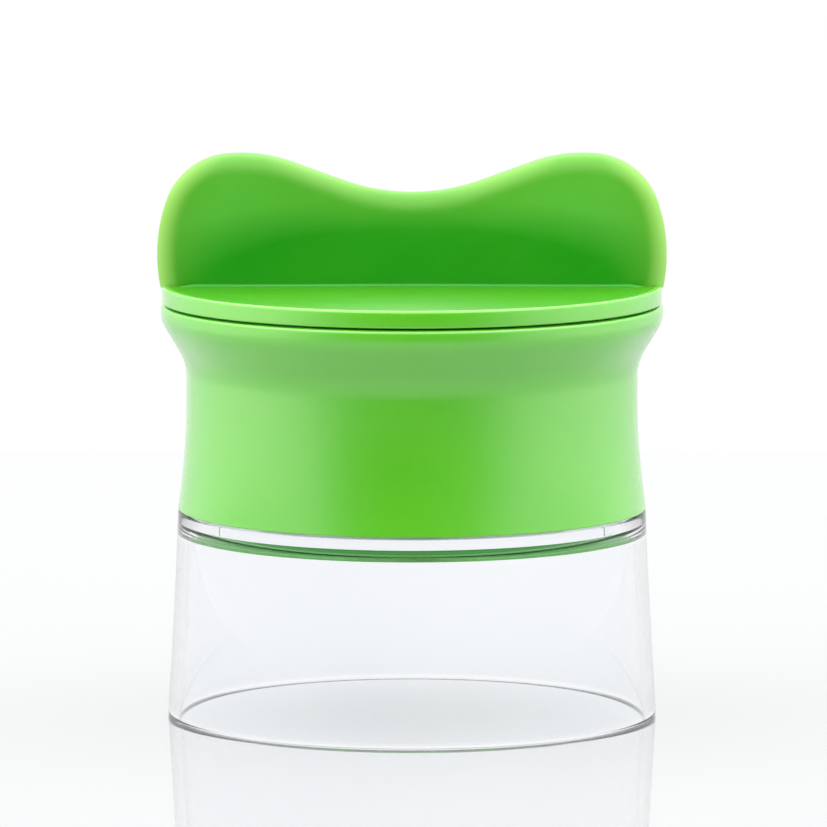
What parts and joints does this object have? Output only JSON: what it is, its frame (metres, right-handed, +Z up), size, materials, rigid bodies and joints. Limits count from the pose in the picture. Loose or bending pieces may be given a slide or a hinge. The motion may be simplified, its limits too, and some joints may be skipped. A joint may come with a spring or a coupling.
{
  "type": "hand-held vegetable spiralizer",
  "caption": "Hand-held spiral cutter: a clear open skirt twist-locked under a waisted body with a blade disc, capped by a winged food holder with prongs.",
  "frame": {"origin": "centre of the circle that the clear skirt stands on, which is the middle of the bounding box's underside", "axes": "+Z up along the axis that every round piece turns about; X along the grip fin; -Y towards the front"},
  "size_m": [0.0986, 0.0972, 0.1092],
  "materials": {
    "clear_plastic": "clear, polished",
    "body_green": "glossy yellow-green",
    "cap_green": "glossy light green",
    "grip_soft": "soft satin, darker green",
    "steel": "stainless, finely brushed"
  },
  "bodies": {
    "skirt": {"clear_skirt": "clear_plastic"},
    "cutter": {"upper_body": "body_green", "guide_funnel": "body_green", "blade_disc": "body_green", "slicing_blade": "steel", "julienne_comb": "steel", "coring_tube": "steel", "blade_screws": "steel", "carrier_screws": "steel"},
    "food_holder": {"holder_cap": "cap_green", "grip_overmould": "grip_soft", "prong_stem": "cap_green", "prongs": "steel", "centre_spike": "steel", "holder_screws": "steel"}
  },
  "joints": [
    {"name": "body_twist", "type": "hinge", "parent": "skirt", "child": "cutter", "pos_m": [0, 0, 0.044], "axis": [0, 0, 1], "range_deg": [0, 28]},
    {"name": "food_holder_lift", "type": "slide", "parent": "cutter", "child": "food_holder", "axis": [0, 0, 1], "range_m": [0, 0.05]}
  ]
}
